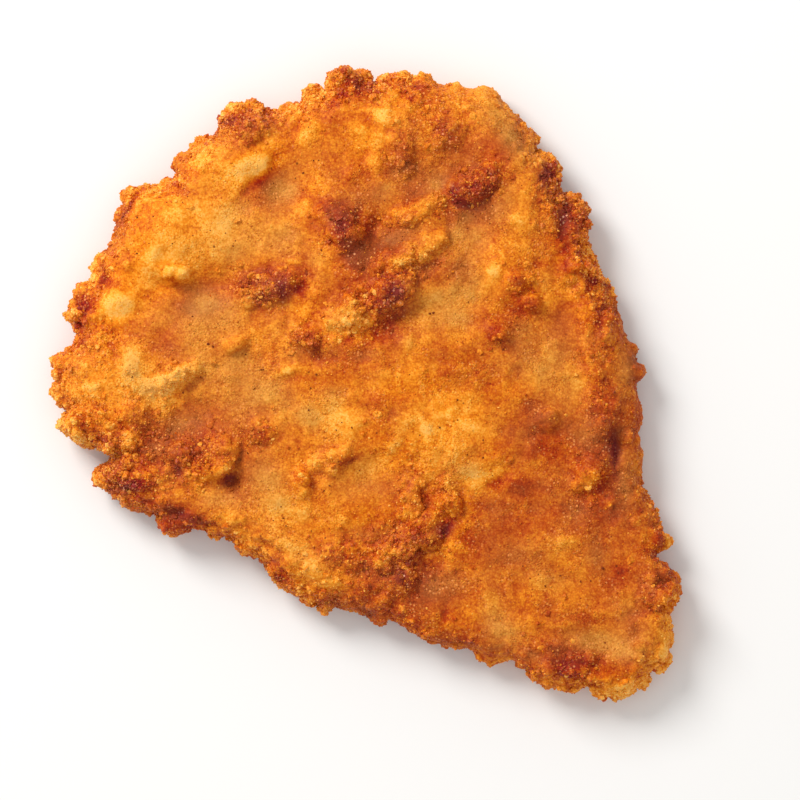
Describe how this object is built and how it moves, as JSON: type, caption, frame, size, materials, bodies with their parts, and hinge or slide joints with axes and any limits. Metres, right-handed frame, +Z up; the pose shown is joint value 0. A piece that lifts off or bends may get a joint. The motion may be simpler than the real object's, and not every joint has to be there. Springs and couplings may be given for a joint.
{
  "type": "fried chicken fillet",
  "caption": "Boneless fried chicken breast fillet in a browned, craggy batter crust, wide at one end and narrowing to a thin tail, lying flat.",
  "frame": {"origin": "under the middle of the fillet's box, on the surface that it lies on", "axes": "+Z up through the thickness; seen from above the wide end is at -X +Y and the thin tail at +X -Y"},
  "size_m": [0.1386, 0.139, 0.0195],
  "materials": {
    "crust": "browned fried batter: rough and grainy, golden orange on the high and smooth places, red-brown on the crags, with a thin sheen of frying oil"
  },
  "bodies": {
    "root": {"fillet": "crust"}
  },
  "joints": []
}
